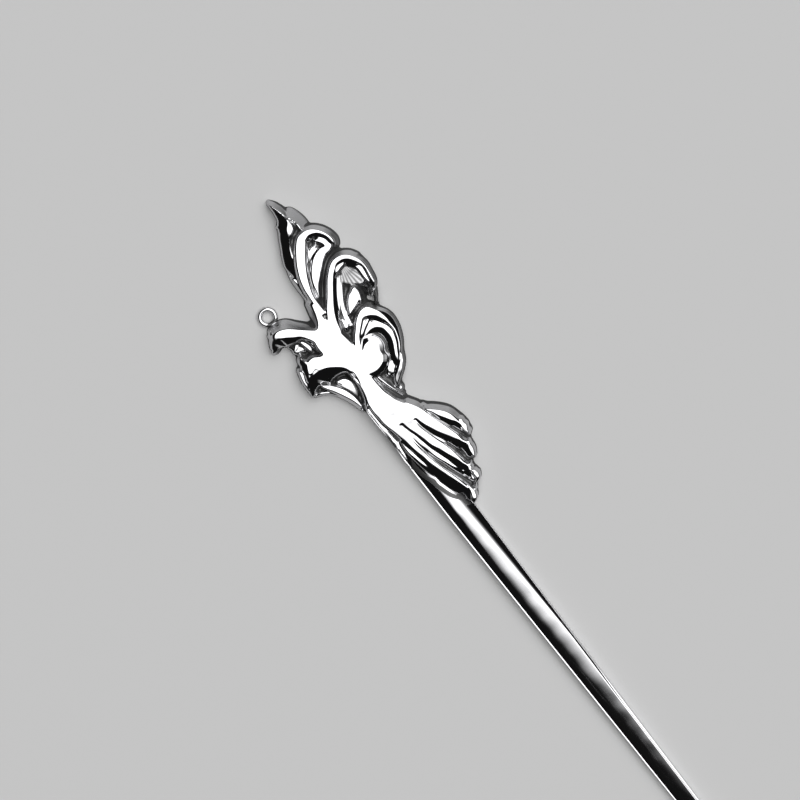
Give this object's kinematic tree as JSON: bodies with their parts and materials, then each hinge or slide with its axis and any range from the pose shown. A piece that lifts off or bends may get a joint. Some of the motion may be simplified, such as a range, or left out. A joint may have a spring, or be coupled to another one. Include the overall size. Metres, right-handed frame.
{
  "type": "hairpin",
  "caption": "Cast metal hairpin with a flat back: a tapering shank under a raised ornament of scrolls, hooks and a ribbed tail, with small eyelets for drops.",
  "frame": {"origin": "on the flat back, on the shank's centre line where the ornament's tail ends", "axes": "+X along the shank to its point, +Z out of the decorated face, +Y to the side of the scrolls"},
  "size_m": [0.1805, 0.0229, 0.0035],
  "materials": {
    "metal": "polished"
  },
  "bodies": {
    "root": {"hairpin": "metal"}
  },
  "joints": []
}
